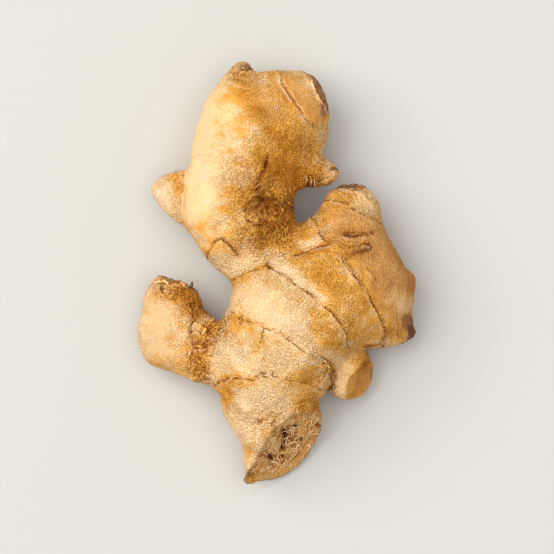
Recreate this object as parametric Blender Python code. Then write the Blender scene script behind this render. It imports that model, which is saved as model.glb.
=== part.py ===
"""A fresh ginger rhizome, one grown piece, lying on its side as it would on a table.

X runs to the right, Y away from the cut end and Z up. The origin is on the table, under the middle of the
rhizome's bounding box. All numbers below are in millimetres, and place() turns them into metres at the end.
"""

from collections import namedtuple

import bmesh
import bpy
import numpy as np
from mathutils import Matrix, noise

MM = 0.001

# Fingers are chains of balls along a middle line: each station is x, y, z and radius.
# flatness is the section's height over its width, and blend is how far it melts into what it grows from.
Finger = namedtuple("Finger", "blend flatness stations")

FINGERS = {
    "middle": Finger(6, 0.90, [
        (2.4, -20, 17.2, 16.4), (5.5, -12, 17.4, 17.0), (12.5, -5.5, 17.4, 17.4), (19, -1, 16, 15.5)]),
    "lower": Finger(6, 0.92, [
        (2.4, -20, 17, 16.6), (-1.0, -25.5, 15.6, 16.2)]),
    "torn_end": Finger(5, 0.95, [
        (-1.6, -28, 15.2, 16.2), (-2.4, -36, 14, 14.2), (0.4, -42.5, 13.3, 12.8), (2.8, -48.5, 12.9, 12.0),
        (4.2, -54, 12.7, 11.6), (4.9, -60, 12.5, 11.1), (5.2, -68, 12.4, 10.8)]),
    "torn_edge": Finger(3, 1.0, [
        (-4.8, -45, 12.6, 5.4), (-4.5, -51, 12.2, 4.9), (-4.8, -58, 11.8, 4.7), (-5.0, -68, 11.6, 4.6)]),
    "right": Finger(6, 0.92, [
        (18, -6, 16.4, 16.8), (26.8, -6, 12.9, 14.6), (29, -10.5, 12.6, 11.5)]),
    "right_top": Finger(5, 0.92, [
        (22.5, 0, 15, 12.4), (22.8, 9, 15.5, 10.9), (22.7, 15.6, 16.2, 9.3), (22.8, 18.6, 16.4, 7.4)]),
    "shoulder": Finger(3.5, 0.95, [
        (12, 2, 15.5, 11), (14.3, 9.8, 15, 7.3)]),
    "corner": Finger(4, 0.95, [
        (30, -14.3, 10.5, 8.0), (35.5, -16.5, 9, 5.8), (39.4, -17.9, 7.5, 2.6)]),
    "neck": Finger(5, 0.92, [
        (5, -9, 14.5, 13.4), (-2.0, 1.2, 14, 11.0), (-8.1, 11, 14.2, 13.4), (-11.0, 18.5, 14.8, 14.8)]),
    "upper": Finger(6, 0.92, [
        (-11, 18.5, 15.8, 14.8), (-9.2, 30, 16.4, 16.1), (-6.4, 40, 16.0, 17.2), (-7.2, 43.8, 15.8, 15.2)]),
    "head": Finger(4, 0.92, [
        (-4, 42.5, 15.6, 15.4), (2.8, 47.0, 15.6, 12.6), (6.2, 51.1, 15, 9.2)]),
    "cheek": Finger(3, 0.95, [
        (2, 43, 14.5, 10), (7.4, 41.8, 14, 8.0)]),
    "top_bud": Finger(3, 1.0, [
        (-11.2, 53, 14.5, 6.4), (-10.4, 57.4, 14.6, 4.4), (-9.6, 60.2, 14.8, 3.0)]),
    "left_bud": Finger(3, 1.0, [
        (-21, 21.5, 13, 9.4), (-26, 22.5, 12, 8.4), (-30, 23.2, 11, 6.9), (-32.5, 24.1, 10, 4.8)]),
    "right_bud": Finger(3.5, 1.0, [
        (1.5, 29.5, 14, 7.0), (8, 30, 15, 5.6), (12, 30, 15.5, 4.9), (15.3, 29.5, 16, 3.2),
        (17.8, 30.2, 16.5, 0.9)]),
    "left": Finger(4, 0.95, [
        (-8, -25, 13, 12), (-15.5, -25.6, 11.6, 10.2), (-22, -23.2, 10.4, 10.0), (-27.4, -20.6, 9.7, 10.6),
        (-30.4, -18.4, 9.9, 10.9), (-31.2, -11.2, 11.0, 9.0), (-30.9, -7.6, 12, 7.8)]),
    "knob": Finger(2, 0.95, [
        (18.5, -24.5, 10, 7.3), (22.4, -28.8, 9.5, 7.5), (22.2, -31.2, 9.5, 7.6)]),
}
STEPS_BETWEEN_STATIONS = 6

# Flat ends: the fingers that each one cuts, a point on it, its outward direction, and how round its rim is.
Face = namedtuple("Face", "fingers middle outward rim")

FLAT_ENDS = {
    "torn": Face(("torn_end", "torn_edge"), (3.6, -53.4, 12.5), (0.73, -1.0, 0.80), 0.6),
    "left": Face(("left",), (-29.0, -3.6, 12), (0.36, 0.92, 0.12), 1.6),
    "knob": Face(("knob",), (25.7, -34.8, 9), (0.72, -0.50, 0.48), 0.8),
    "head": Face(("head",), (14.8, 53.2, 15), (0.92, 0.34, 0.20), 1.4),
}
WHOLE_FINGERS = [name for name in FINGERS if not any(name in face.fingers for face in FLAT_ENDS.values())]
DISH_DEPTH, DISH_RIM = 0.9, 1.8

# Growth rings, as lines seen from above that go right round the finger below them. The old leaf's edge stands up by
# lip on the right-hand side of a line's way, and on its left the skin lies lower by groove.
Ring = namedtuple("Ring", "lip groove points")

RINGS = {
    "middle": Ring(0.50, 0.35, [
        (-14.5, -5.5), (-12.6, -2.5), (-7.7, -0.2), (-2.3, 1.6), (3, -1.6), (9, -6.1), (15, -11), (18.6, -15.2),
        (21.4, -23)]),
    "middle_low": Ring(0.50, 0.35, [
        (-13.4, -12), (-7.5, -15.4), (-3.0, -16.9), (1.9, -18.2), (7.9, -23.3), (13.1, -26.8), (17.2, -30.8),
        (17.4, -35)]),
    "lower": Ring(0.45, 0.30, [
        (-19, -35), (-12.5, -31.7), (-6.4, -32.4), (-2.8, -30.4), (2.2, -32), (9.1, -33.5), (15, -36)]),
    "right": Ring(0.50, 0.35, [
        (19.8, 4.4), (22.5, -0.1), (26, -5.6), (29, -10.1), (31, -14), (32.4, -18.2), (32.1, -23)]),
    "shoulder": Ring(0.40, 0.30, [(9.6, 18), (11, 16), (12.5, 13.4), (14, 10), (16, 8.2)]),
    "shoulder_fold": Ring(0.40, 0.45, [(5.4, 5.6), (10.5, 6.5), (15.5, 7.7), (18.2, 10.4)]),
    "right_top": Ring(0.40, 0.25, [(11.5, 19), (17, 20.7), (20.5, 20.5), (25.2, 17.5), (32, 14)]),
    "waist": Ring(0.30, 0.20, [(-9.5, 33.6), (-15.9, 33.8), (-21.5, 34.7), (-26.5, 34.6)]),
    "head": Ring(0.50, 0.30, [
        (1.7, 62), (1.8, 58.3), (2.1, 55.4), (4.8, 50.7), (7.5, 47.3), (9.8, 44.3), (13.5, 42)]),
    "head_cap": Ring(0.45, 0.25, [(9.2, 62), (9.3, 59.7), (10.5, 56.7), (12.8, 53), (16.5, 47)]),
    "neck": Ring(0.40, 0.30, [(-22.5, 2.4), (-17.3, 8.9), (-15.8, 9.8), (-14.5, 8.9), (-11.3, 4.3)]),
    "left_bud": Ring(0.35, 0.35, [(-27.2, 14.5), (-27.9, 20), (-27.6, 24), (-26.6, 32)]),
    "right_bud": Ring(0.30, 0.35, [(9.3, 28.6), (9.9, 27.2), (9.7, 25.4), (9.0, 23.0)]),
    "collar_outer": Ring(0.55, 0.60, [(-25.4, -33), (-25.7, -28), (-24.9, -22), (-24.4, -14)]),
    "collar_inner": Ring(0.40, 0.40, [(-20.2, -34.5), (-19.6, -27.6), (-16.8, -20.7), (-13.6, -14)]),
    "left_cap": Ring(0.50, 0.40, [(-39, -5.4), (-36.6, -3.6), (-30, -3.6), (-23.6, -6)]),
    "knob": Ring(0.50, 0.80, [(13.2, -25.2), (15.4, -26.8), (17.6, -32.6), (16.0, -37)]),
    "top_bud": Ring(0.35, 0.30, [(-5.0, 58.4), (-7.6, 57.2), (-10, 57.0), (-14.5, 58.0)]),
    "crease": Ring(0.15, 0.80, [(-2.1, 34), (-2.6, 31.5), (-3.9, 28.3), (-5.3, 23.8)]),
}
LIP_LENGTH, STEP_WIDTH, GROOVE_WIDTH, END_FADE = 2.2, 0.6, 0.9, 1.5
WAVE, WAVE_LENGTH = 0.45, 7.0

# Soft dents and swellings: place, radius and height, which is below zero for a dent.
SWELLINGS = [
    ((-14, 8, 26), 4.0, 0.9),
    ((-2.4, 22.5, 28), 4.0, -1.6),
    ((-1.6, 17.5, 27), 5.0, -1.7),
    ((0.6, 27.5, 27), 4.4, -1.5),
    ((9, 6, 31), 5.0, -0.8),
    ((24, 9, 25), 3.5, -0.7),
    ((16, -27, 14), 3.0, -1.0),
    ((-27, -25, 18), 5.0, 0.6),
    ((-10.5, -30, 26), 6.0, -0.6),
    ((-37, -26, 9), 3.0, 0.7),
    ((33, -1, 20), 6.0, 0.5),
    ((18, -12, 30), 7.0, 0.6),
    ((-16, 46, 25), 7.0, 0.7),
    ((4.2, -52.0, 13.5), 3.6, -1.2),
]

# Lumps of the skin: how wide each kind is, and its height.
LUMPS = [(14.0, 1.1), (7.0, 0.7), (4.2, 0.35)]

ROUGH_VOXEL, FINE_VOXEL = 1.6, 0.9
SETTLING_ROUNDS = 5
TRIANGLES = 10500

SKIN_COLOUR = (0.72, 0.47, 0.22, 1.0)
SKIN_ROUGHNESS = 0.72


def clear_scene():
    for obj in list(bpy.data.objects):
        bpy.data.objects.remove(obj)


def curve_through(stations, steps):
    """Points on a smooth curve through the stations."""
    known = np.array(stations, float)
    known = np.vstack([2 * known[0] - known[1], known, 2 * known[-1] - known[-2]])
    line = []
    for before, start, end, after in zip(known, known[1:], known[2:], known[3:]):
        for t in np.arange(steps) / steps:
            line.append(0.5 * (
                2 * start
                + (end - before) * t
                + (2 * before - 5 * start + 4 * end - after) * t**2
                + (3 * start - before - 3 * end + after) * t**3
            ))
    line.append(known[-2])
    return np.array(line)


MIDDLE_LINES = {
    name: curve_through(finger.stations, STEPS_BETWEEN_STATIONS) for name, finger in FINGERS.items()
}
FAR = 30.0
BLEND_REACH = 9.0


def smooth_min(a, b, blend):
    share = np.clip(0.5 + 0.5 * (b - a) / blend, 0, 1)
    return b + (a - b) * share - blend * share * (1 - share)


def smooth_max(a, b, blend):
    return -smooth_min(-a, -b, blend)


def finger_distance(points, name):
    """How far each point is outside one finger, below zero inside it, or FAR where it is well away."""
    line = MIDDLE_LINES[name]
    squash = np.array([1, 1, 1 / FINGERS[name].flatness])
    low = (line[:, :3] - line[:, 3:]).min(0) - BLEND_REACH
    high = (line[:, :3] + line[:, 3:]).max(0) + BLEND_REACH
    near = ((points > low) & (points < high)).all(1)
    there = points[near] * squash
    nearest = np.full(len(there), FAR)
    for start, end in zip(line, line[1:]):
        foot, along = start[:3] * squash, (end[:3] - start[:3]) * squash
        away = there - foot
        t = np.clip(away @ along / (along @ along), 0, 1)
        away -= t[:, None] * along
        radius = start[3] + t * (end[3] - start[3])
        nearest = np.minimum(nearest, np.sqrt((away * away).sum(1)) - radius)
    distance = np.full(len(points), FAR)
    distance[near] = nearest
    return distance


def face_distance(points, face):
    outward = np.array(face.outward) / np.linalg.norm(face.outward)
    return (points - np.array(face.middle)) @ outward


def bump(distance, width):
    return np.exp(-(distance / width) ** 2)


def noise_at(points, wavelength, shift=0.0):
    """Smooth noise between about -1 and 1, with lumps as wide as half the wavelength."""
    scaled = points / wavelength + (shift, 0, 0)
    return np.array([noise.noise(spot) for spot in scaled.tolist()])


def plan_distance(points, course):
    """Distance from a line seen from above, above zero on its left, and how far past its ends each point is."""
    best = np.full(len(points), FAR)
    signed = np.full(len(points), FAR)
    beyond = np.zeros(len(points))
    last = len(course) - 2
    for index, (start, end) in enumerate(zip(course, course[1:])):
        length = np.linalg.norm(end - start)
        along = (end - start) / length
        away = points[:, :2] - start
        t = away @ along
        side = away @ np.array([-along[1], along[0]])
        outside = np.maximum(np.maximum(-t, t - length), 0)
        distance = np.hypot(side, outside)
        closer = distance < best
        past_end = (index == 0) & (t < 0) | (index == last) & (t > length)
        best[closer] = distance[closer]
        signed[closer] = np.where(past_end, side, np.sign(side) * distance)[closer]
        beyond[closer] = (outside * past_end)[closer]
    return signed, beyond


def ring_relief(points):
    """The old leaf's edge rises slowly to each ring, and drops at it into a groove."""
    wave = WAVE * noise_at(points, WAVE_LENGTH)
    relief = np.zeros(len(points))
    for ring in RINGS.values():
        course = curve_through(ring.points, 4)
        low, high = course.min(0) - 5, course.max(0) + 5
        near = np.flatnonzero(((points[:, :2] > low) & (points[:, :2] < high)).all(1))
        signed, beyond = plan_distance(points[near], course)
        signed = signed + wave[near]
        below = 0.5 - 0.5 * np.tanh(signed / STEP_WIDTH)
        lip = ring.lip * np.exp(np.minimum(signed, 0) / LIP_LENGTH) * below
        groove = ring.groove * bump(signed - 0.3, GROOVE_WIDTH)
        relief[near] += np.clip(1 - beyond / END_FADE, 0, 1) * (lip - groove)
    return relief


def joined_distance(points, names):
    """How far each point is outside some fingers that melt into each other."""
    distance = finger_distance(points, names[0])
    for name in names[1:]:
        distance = smooth_min(distance, finger_distance(points, name), FINGERS[name].blend)
    return distance


def dish(points):
    """How deep the torn face lies inside its rim."""
    face = FLAT_ENDS["torn"]
    inside = np.clip(-joined_distance(points, face.fingers) / DISH_RIM, 0, 1)
    return DISH_DEPTH * inside * np.clip(2 - 2 * np.abs(face_distance(points, face)), 0, 1)


def relief_at(points):
    relief = ring_relief(points) - dish(points)
    for place, radius, height in SWELLINGS:
        relief += height * bump(np.linalg.norm(points - np.array(place), axis=1), radius)
    for wavelength, height in LUMPS:
        relief += height * noise_at(points, wavelength, shift=wavelength)
    return relief


def body_distance(points):
    """How far each point is outside the rhizome without its relief."""
    distance = joined_distance(points, WHOLE_FINGERS)
    for face in FLAT_ENDS.values():
        found = smooth_max(joined_distance(points, face.fingers), face_distance(points, face), face.rim)
        distance = smooth_min(distance, found, FINGERS[face.fingers[0]].blend)
    return distance


def settle(points, relief_share):
    """Moves each point straight onto the rhizome's skin."""
    tiny = 0.05
    for _ in range(SETTLING_ROUNDS):
        relief = relief_share * relief_at(points) if relief_share else 0.0
        distance = body_distance(points)
        slope = np.stack(
            [body_distance(points + tiny * axis) - distance for axis in np.eye(3)], axis=1
        ) / tiny
        steepness = np.maximum((slope * slope).sum(1), 0.25)
        points = points - ((distance - relief) / steepness)[:, None] * slope
    return points


def balls_mesh():
    """A ball at each point of each middle line, as the rough body that the voxels fuse."""
    shape = bmesh.new()
    for line in MIDDLE_LINES.values():
        for x, y, z, radius in line[::2]:
            place = Matrix.Translation((x, y, z))
            bmesh.ops.create_icosphere(shape, subdivisions=2, radius=radius, matrix=place)
    mesh = bpy.data.meshes.new("rhizome")
    shape.to_mesh(mesh)
    shape.free()
    return mesh


def modified(obj, kind, **settings):
    """Gives the object one modifier and replaces its mesh with what that makes."""
    modifier = obj.modifiers.new(kind.title(), kind)
    for name, value in settings.items():
        setattr(modifier, name, value)
    graph = bpy.context.evaluated_depsgraph_get()
    mesh = bpy.data.meshes.new_from_object(obj.evaluated_get(graph))
    obj.modifiers.clear()
    obj.data = mesh


def points_of(mesh):
    points = np.empty(len(mesh.vertices) * 3)
    mesh.vertices.foreach_get("co", points)
    return points.reshape(-1, 3)


def put_points(mesh, points):
    mesh.vertices.foreach_set("co", points.ravel())
    mesh.update()


def skin_material():
    material = bpy.data.materials.new("skin")
    material.use_nodes = True
    shader = material.node_tree.nodes["Principled BSDF"]
    shader.inputs["Base Color"].default_value = SKIN_COLOUR
    shader.inputs["Roughness"].default_value = SKIN_ROUGHNESS
    shader.inputs["Metallic"].default_value = 0.0
    return material


def place(obj):
    """Sets the lowest parts on the table as small flat spots, and turns millimetres into metres."""
    points = points_of(obj.data)
    points[:, 2] = np.maximum(points[:, 2], 0.0)
    low, high = points.min(0), points.max(0)
    points[:, :2] -= (low + high)[:2] / 2
    put_points(obj.data, points * MM)


def make_rhizome():
    obj = bpy.data.objects.new("rhizome", balls_mesh())
    bpy.context.scene.collection.objects.link(obj)
    modified(obj, "REMESH", mode="VOXEL", voxel_size=ROUGH_VOXEL)
    put_points(obj.data, settle(points_of(obj.data), 0.0))
    modified(obj, "REMESH", mode="VOXEL", voxel_size=FINE_VOXEL)
    put_points(obj.data, settle(points_of(obj.data), 1.0))
    modified(obj, "TRIANGULATE")
    modified(obj, "DECIMATE", ratio=TRIANGLES / len(obj.data.polygons))
    place(obj)
    obj.data.shade_smooth()
    obj.data.materials.append(skin_material())


clear_scene()
make_rhizome()
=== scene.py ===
"""The looks of the ginger rhizome: its fine skin, its colours, the torn end, and the light and camera.

The rhizome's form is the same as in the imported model, and is worked out from the same finger table. It is
in millimetres, with X to the right, Y away from the torn end and Z up, until the pieces are made: those are
in metres, with their middle over the origin.
"""

from collections import namedtuple

import bmesh
import bpy
import numpy as np
from mathutils import Matrix, Vector, noise
from mathutils.bvhtree import BVHTree


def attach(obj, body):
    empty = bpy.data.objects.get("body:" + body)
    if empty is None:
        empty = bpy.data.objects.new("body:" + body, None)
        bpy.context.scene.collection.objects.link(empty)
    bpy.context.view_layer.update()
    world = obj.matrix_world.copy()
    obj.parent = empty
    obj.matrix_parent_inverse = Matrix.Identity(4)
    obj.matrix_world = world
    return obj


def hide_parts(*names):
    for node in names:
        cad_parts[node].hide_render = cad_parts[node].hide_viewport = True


MM = 0.001
SEED = 7

# The whole form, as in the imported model

# Fingers are chains of balls along a middle line: each station is x, y, z and radius.
# flatness is the section's height over its width, and blend is how far it melts into what it grows from.
Finger = namedtuple("Finger", "blend flatness stations")

FINGERS = {
    "middle": Finger(6, 0.9, [
        (2.4, -20, 17.2, 16.4), (5.5, -12, 17.4, 17), (12.5, -5.5, 17.4, 17.4), (19, -1, 16, 15.5)]),
    "lower": Finger(6, 0.92, [(2.4, -20, 17, 16.6), (-1, -25.5, 15.6, 16.2)]),
    "torn_end": Finger(5, 0.95, [
        (-1.6, -28, 15.2, 16.2), (-2.4, -36, 14, 14.2), (0.4, -42.5, 13.3, 12.8), (2.8, -48.5, 12.9, 12),
        (4.2, -54, 12.7, 11.6), (4.9, -60, 12.5, 11.1), (5.2, -68, 12.4, 10.8)]),
    "torn_edge": Finger(3, 1, [
        (-4.8, -45, 12.6, 5.4), (-4.5, -51, 12.2, 4.9), (-4.8, -58, 11.8, 4.7), (-5, -68, 11.6, 4.6)]),
    "right": Finger(6, 0.92, [(18, -6, 16.4, 16.8), (26.8, -6, 12.9, 14.6), (29, -10.5, 12.6, 11.5)]),
    "right_top": Finger(5, 0.92, [
        (22.5, 0, 15, 12.4), (22.8, 9, 15.5, 10.9), (22.7, 15.6, 16.2, 9.3), (22.8, 18.6, 16.4, 7.4)]),
    "shoulder": Finger(3.5, 0.95, [(12, 2, 15.5, 11), (14.3, 9.8, 15, 7.3)]),
    "corner": Finger(4, 0.95, [(30, -14.3, 10.5, 8), (35.5, -16.5, 9, 5.8), (39.4, -17.9, 7.5, 2.6)]),
    "neck": Finger(5, 0.92, [
        (5, -9, 14.5, 13.4), (-2, 1.2, 14, 11), (-8.1, 11, 14.2, 13.4), (-11, 18.5, 14.8, 14.8)]),
    "upper": Finger(6, 0.92, [
        (-11, 18.5, 15.8, 14.8), (-9.2, 30, 16.4, 16.1), (-6.4, 40, 16, 17.2), (-7.2, 43.8, 15.8, 15.2)]),
    "head": Finger(4, 0.92, [(-4, 42.5, 15.6, 15.4), (2.8, 47, 15.6, 12.6), (6.2, 51.1, 15, 9.2)]),
    "cheek": Finger(3, 0.95, [(2, 43, 14.5, 10), (7.4, 41.8, 14, 8)]),
    "top_bud": Finger(3, 1, [(-11.2, 53, 14.5, 6.4), (-10.4, 57.4, 14.6, 4.4), (-9.6, 60.2, 14.8, 3)]),
    "left_bud": Finger(3, 1, [
        (-21, 21.5, 13, 9.4), (-26, 22.5, 12, 8.4), (-30, 23.2, 11, 6.9), (-32.5, 24.1, 10, 4.8)]),
    "right_bud": Finger(3.5, 1, [
        (1.5, 29.5, 14, 7), (8, 30, 15, 5.6), (12, 30, 15.5, 4.9), (15.3, 29.5, 16, 3.2),
        (17.8, 30.2, 16.5, 0.9)]),
    "left": Finger(4, 0.95, [
        (-8, -25, 13, 12), (-15.5, -25.6, 11.6, 10.2), (-22, -23.2, 10.4, 10), (-27.4, -20.6, 9.7, 10.6),
        (-30.4, -18.4, 9.9, 10.9), (-31.2, -11.2, 11, 9), (-30.9, -7.6, 12, 7.8)]),
    "knob": Finger(2, 0.95, [(18.5, -24.5, 10, 7.3), (22.4, -28.8, 9.5, 7.5), (22.2, -31.2, 9.5, 7.6)]),
}
STEPS_BETWEEN_STATIONS = 6

# Flat ends: the fingers that each one cuts, a point on it, its outward direction, and how round its rim is.
Face = namedtuple("Face", "fingers middle outward rim")

FLAT_ENDS = {
    "torn": Face(("torn_end", "torn_edge"), (3.6, -53.4, 12.5), (0.73, -1, 0.8), 0.6),
    "left": Face(("left",), (-29, -3.6, 12), (0.36, 0.92, 0.12), 1.6),
    "knob": Face(("knob",), (25.7, -34.8, 9), (0.72, -0.5, 0.48), 0.8),
    "head": Face(("head",), (14.8, 53.2, 15), (0.92, 0.34, 0.2), 1.4),
}
WHOLE_FINGERS = [name for name in FINGERS if not any(name in face.fingers for face in FLAT_ENDS.values())]

# Lines of the skin, as seen from above: edges of old leaves, and cracks. The skin on the right-hand side of
# a line's way stands up as a lip, and on its left it lies lower in a groove. Each row has the lip's height,
# how far it reaches, the groove's depth, how brown the line is painted, which is partly painted shade of its
# groove, and its points.
LINES = [
    # Rings round the middle
    (0.28, 2, 0.22, 0.6, [
        (-14.5, -5.5), (-12.6, -2.5), (-10.3, -1.6), (-7.7, -0.2), (-4.4, 0.8), (-2.3, 1.6)]),
    (0.4, 2.5, 0.35, 0.9, [(-2.4, 1.6), (0, -0.1), (3, -1.6), (6, -4.1), (9, -6.1), (12.2, -8.5)]),
    (0.2, 1.5, 0.1, 0.15, [(11.5, -8), (13, -9.2), (15, -11)]),
    (0.35, 1.2, 0.35, 0.75, [
        (14.6, -10.6), (16.4, -12.3), (17.6, -13.9), (18.6, -15.2), (20.2, -17.2), (21, -19), (21.4, -23)]),
    (0.25, 2.2, 0.22, 0.65, [
        (-13.4, -12), (-9.8, -14.6), (-7.5, -15.4), (-5.3, -15.6), (-3, -16.9), (0.2, -17.8), (1.9, -18.2)]),
    (0.35, 2.2, 0.3, 0.65, [
        (1.9, -18.2), (4.5, -20.5), (7.9, -23.3), (13.1, -26.8), (16, -28.5), (17.2, -30.8), (17.4, -35)]),
    (0.28, 2, 0.25, 0.7, [
        (-19, -35), (-15, -32.4), (-12.5, -31.7), (-8.7, -31.9), (-6.4, -32.4), (-4.4, -31.2),
        (-2.8, -30.4)]),
    (0.28, 2, 0.22, 0.5, [(-2.8, -30.4), (-1, -30.8), (2.2, -32), (4.8, -32.6), (9.1, -33.5), (15, -36)]),
    # Rings round the right lobe, its top and its shoulder
    (0.36, 2.5, 0.3, 1, [
        (19.8, 4.4), (20.5, 2.9), (22.5, -0.1), (26, -5.6), (29, -10.1), (31, -14), (32.4, -18.2),
        (32.1, -23)]),
    (0.3, 1.5, 0.25, 0.9, [(9.6, 18), (11, 16), (12.5, 13.4), (14, 10), (16, 8.2)]),
    (0.35, 1.5, 0.3, 0.75, [(5.4, 5.6), (6, 5.2), (10.5, 6.5), (15.5, 7.7), (17, 8.9), (18.2, 10.4)]),
    (0.3, 1.8, 0.2, 0.6, [
        (11.5, 19), (14.5, 20.2), (17, 20.7), (20.5, 20.5), (23, 18.5), (25.2, 17.5), (28, 16), (32, 14)]),
    (0.35, 1, 0.2, 0.35, [(12, 20), (16, 23.5), (20, 25), (24.5, 24.6), (28, 22), (31, 19)]),
    (0.15, 1.2, 0.1, 0.2, [(13.2, 13), (14.8, 13.7), (19, 15.7), (21.5, 16)]),
    (0.2, 1.5, 0.15, 0.35, [(36.2, -11), (36.7, -18), (36.2, -24)]),
    (0.5, 0.9, 0.4, 0.8, [(20.2, 10.9), (22.8, 10.4), (25.4, 10.9), (27.8, 10.5)]),
    (0.5, 0.9, 0.4, 0.8, [(20.8, 5.8), (22.4, 6.6), (24.4, 6.9), (26.2, 7.8), (28.2, 8)]),
    # Rings round the upper lobe, its head and its buds
    (0.25, 1.5, 0.15, 0.2, [
        (-9.5, 33.6), (-12.5, 33.6), (-15.9, 33.8), (-18.6, 34.2), (-21.5, 34.7), (-26.5, 34.6)]),
    (0.55, 2.2, 0.3, 0.55, [
        (1.7, 62), (1.8, 58.3), (2.1, 55.4), (3.6, 52.5), (4.8, 50.7), (7.5, 47.3), (9.8, 44.3),
        (13.5, 42)]),
    (0.55, 1.5, 0.3, 0.6, [(9.2, 62), (9.3, 59.7), (10.5, 56.7), (12.8, 53), (14.3, 50.3), (16.5, 47)]),
    (0.35, 1.5, 0.3, 0.85, [
        (-22.5, 2.4), (-19.7, 5), (-17.3, 8.9), (-15.8, 9.8), (-14.5, 8.9), (-12.9, 6.9), (-11.3, 4.3)]),
    (0.25, 1.2, 0.3, 0.35, [(-27.2, 14.5), (-27.9, 20), (-27.6, 24), (-26.6, 32)]),
    (0.25, 0.7, 0.4, 0.85, [(9.3, 28.6), (9.9, 27.2), (9.7, 25.4), (9, 23)]),
    (0.25, 0.7, 0.4, 0.85, [(10.6, 28.8), (11.2, 27.4), (11.2, 25.6), (10.6, 23)]),
    (0.2, 0.7, 0.3, 0.7, [(12.2, 29), (12.8, 27.6), (12.8, 26), (12.4, 23.5)]),
    (0.3, 1.2, 0.25, 0.45, [(-5, 58.4), (-7.6, 57.2), (-10, 57), (-14.5, 58)]),
    (0.3, 0.6, 0.3, 0.75, [(-10.8, 60.6), (-9, 59.6), (-7.6, 60.4), (-6, 61.6)]),
    (0, 1.5, 1, 0.9, [(-2.1, 34), (-2.6, 31.5), (-3.9, 28.3), (-4.3, 26), (-5.3, 23.8)]),
    # Folds round the hollow of the neck
    (0.14, 0.8, 0.35, 0.75, [(-9, 17.3), (-7.6, 19.7), (-4.6, 20.6), (-1.8, 19.2), (-0.6, 16.8)]),
    (0.1, 0.7, 0.3, 0.75, [(-7.6, 16.4), (-6.2, 18.1), (-3.8, 18.1), (-2.6, 16.6)]),
    (0.1, 0.7, 0.25, 0.5, [(-1.4, 15.4), (-3.2, 14.2), (-6, 13.9), (-8.4, 15.2)]),
    # Rings and loose skin on the left finger
    (0.4, 1, 0.3, 0.15, [(-25.4, -33), (-25.7, -28), (-24.9, -24.6), (-24.9, -20.6)]),
    (0.5, 0.8, 0.9, 0.8, [(-24.9, -21.2), (-24, -22.6), (-22, -22.9), (-20.6, -22.2)]),
    (0.5, 0.8, 0.9, 0.8, [(-24.8, -18.6), (-24.9, -16.6), (-23.6, -15.4), (-22.6, -16.2)]),
    (0.4, 0.8, 0.7, 0.7, [(-21.6, -16.2), (-20.2, -18.6), (-18.2, -20.2)]),
    (0.3, 1.5, 0.35, 0.4, [
        (-20.2, -34.5), (-19.6, -27.6), (-18.6, -24.2), (-16.8, -20.7), (-14.8, -17), (-13.6, -14)]),
    (0.45, 1, 0.4, 0.6, [(-39, -5.4), (-36.6, -3.6), (-33.4, -4), (-30, -3.6), (-26.6, -4.4), (-23.6, -6)]),
    (0.3, 0.6, 0.3, 0.8, [(-34.2, -4.6), (-33.6, -6.8)]),
    # The knob and the corner beside it
    (0.4, 1, 0.6, 0.6, [(13.2, -25.2), (15.4, -26.8), (17.2, -29.6), (17.6, -32.6), (16, -37)]),
    (0.35, 0.7, 0.4, 0.6, [(14.8, -28.6), (16, -30.6), (16, -33.4)]),
    (0.25, 0.8, 0.2, 0.6, [(32.1, -21.5), (29.7, -22.2), (27.4, -22.2)]),
    # Short cracks
    (0.25, 0.6, 0.25, 0.65, [(-10.6, -12.2), (-9.6, -14.2), (-10.4, -15.6)]),
    (0.2, 0.6, 0.25, 0.6, [(-9, -14.2), (-7.4, -15.2)]),
    (0.2, 0.6, 0.25, 0.55, [(-4, -17), (-4.2, -19.4), (-4.6, -21.4)]),
    (0.3, 0.6, 0.25, 0.75, [(-5.4, -31.8), (-4, -30.2), (-3.2, -31.6)]),
    (0.3, 0.6, 0.25, 0.7, [(-0.8, -29.6), (-0.5, -31.2)]),
    (0.3, 0.7, 0.3, 0.75, [(-5.2, -45.8), (-3.6, -44.4), (-2.6, -44)]),
    (0.3, 0.6, 0.3, 0.8, [(-0.6, -43.8), (-0.7, -45.8)]),
    (0.2, 0.6, 0.2, 0.4, [(-3.2, -25.2), (-4.6, -27.6), (-5.2, -29.4)]),
    (0.2, 0.6, 0.2, 0.4, [(26.6, 2.4), (28.8, -1.4), (31.6, -4.2)]),
    (0.2, 0.6, 0.2, 0.4, [(33.4, 4.6), (35.4, 1.2), (37.8, -1.2)]),
]

# Soft dents and swellings: place, radius and height, which is below zero for a dent.
SWELLINGS = [
    ((-14, 8, 26), 4, 0.9),
    ((-2.4, 22.5, 28), 3.6, -2),
    ((-2.6, 17.5, 27), 4.6, -2.2),
    ((0.6, 27.5, 27), 4.4, -1.5),
    ((9, 6, 31), 5, -0.8),
    ((24, 9, 25), 3.5, -0.7),
    ((16, -27, 14), 3, -1),
    ((-27, -25, 18), 5, 0.6),
    ((-10.5, -30, 26), 6, -0.6),
    ((-37, -26, 9), 3, 0.7),
    ((33, -1, 20), 6, 0.5),
    ((18, -12, 30), 7, 0.6),
    ((34.4, 6.4, 14), 1.7, 0.7),
    ((-36.2, 20.6, 11), 3, -1.3),
    ((-35.6, 28.8, 12), 3, -1),
    ((41, -3, 11), 2.6, 0.9),
    ((38.6, 2, 12), 1.8, -0.5),
    ((40.8, -9.5, 10), 2.2, -0.7),
    ((42, -18.8, 8), 1.6, 0.9),
    ((-16, 46, 25), 7, 0.7),
    ((4.2, -52, 13.5), 3.6, -1.2),
]

# Lumps of the skin: how wide each kind is, and its height.
LUMPS = [(14, 1.1), (7, 0.7), (4.2, 0.38), (2.7, 0.2)]

# The sizes of the first and the last remeshing, and how often the points are moved onto the form after each.
ROUGH_VOXEL, FINE_VOXEL, SETTLING_ROUNDS = 1.6, 0.45, 4
# The most triangles of the skin, and how high its lower side reaches, where it has fewer.
MOST_TRIANGLES, LOWER_SIDE = 190000, 9
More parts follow.
